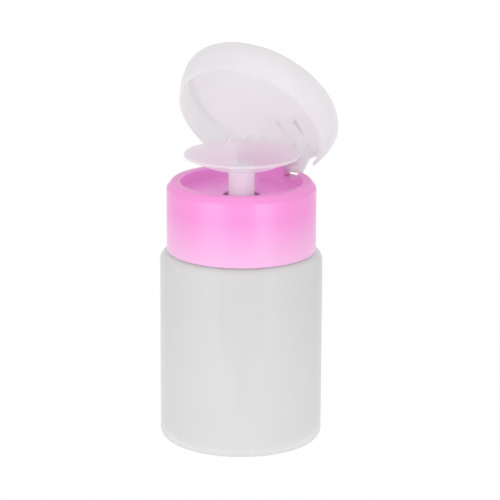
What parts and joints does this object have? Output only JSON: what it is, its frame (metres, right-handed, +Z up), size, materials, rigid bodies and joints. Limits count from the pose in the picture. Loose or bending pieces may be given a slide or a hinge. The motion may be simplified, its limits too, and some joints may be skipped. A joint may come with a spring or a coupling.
{
  "type": "press-top liquid dispenser bottle",
  "caption": "Cylindrical frosted bottle with a screw collar, a press dish that pumps liquid up when pushed down, and a domed lid on a rear hinge.",
  "frame": {"origin": "middle of the bottle's base, on the plane that it stands on", "axes": "+Z up along the bottle's axis; the lid's hinge is at +Y and the lid opens away from -Y; the hinge axis is parallel to X"},
  "size_m": [0.045, 0.0466, 0.1094],
  "materials": {
    "frosted_bottle": "frosted, translucent",
    "pink_collar": "satin, opaque pink",
    "natural_plastic": "milky, translucent",
    "white_plastic": "satin white",
    "soft_plastic": "soft, waxy",
    "steel": "bright drawn"
  },
  "bodies": {
    "bottle": {"bottle": "frosted_bottle"},
    "pump": {"pump_housing": "natural_plastic", "neck_gasket": "soft_plastic", "stem_guide": "white_plastic", "ball_cage": "white_plastic", "dip_tube": "natural_plastic", "return_spring": "steel"},
    "closure": {"collar": "pink_collar"},
    "lid": {"lid": "natural_plastic"},
    "press": {"press_dish": "natural_plastic", "stem": "white_plastic", "piston": "soft_plastic"},
    "inlet_valve": {"inlet_ball": "steel"},
    "outlet_valve": {"outlet_ball": "steel"}
  },
  "joints": [
    {"name": "collar_lift", "type": "slide", "parent": "bottle", "child": "pump", "axis": [0, 0, 1], "range_m": [0, 0.006]},
    {"name": "collar_turn", "type": "hinge", "parent": "pump", "child": "closure", "pos_m": [0, 0, 0.0655], "axis": [0, 0, 1], "range_deg": [0, 540]},
    {"name": "lid_hinge", "type": "hinge", "parent": "closure", "child": "lid", "pos_m": [0, 0.0178, 0.0738], "axis": [-1, 0, 0], "range_deg": [-55, 40]},
    {"name": "press_stroke", "type": "slide", "parent": "pump", "child": "press", "axis": [0, 0, -1], "range_m": [0, 0.0065], "stiffness_N_per_m": 300, "springref_m": -0.004, "deforming": ["return_spring"]},
    {"name": "inlet_valve_lift", "type": "slide", "parent": "pump", "child": "inlet_valve", "axis": [0, 0, 1], "range_m": [0, 0.0013]},
    {"name": "outlet_valve_lift", "type": "slide", "parent": "press", "child": "outlet_valve", "axis": [0, 0, 1], "range_m": [0, 0.0008]}
  ],
  "couplings": [
    {"joint": "collar_turn", "follows": "collar_lift", "rad_per_m": 1570.8}
  ]
}
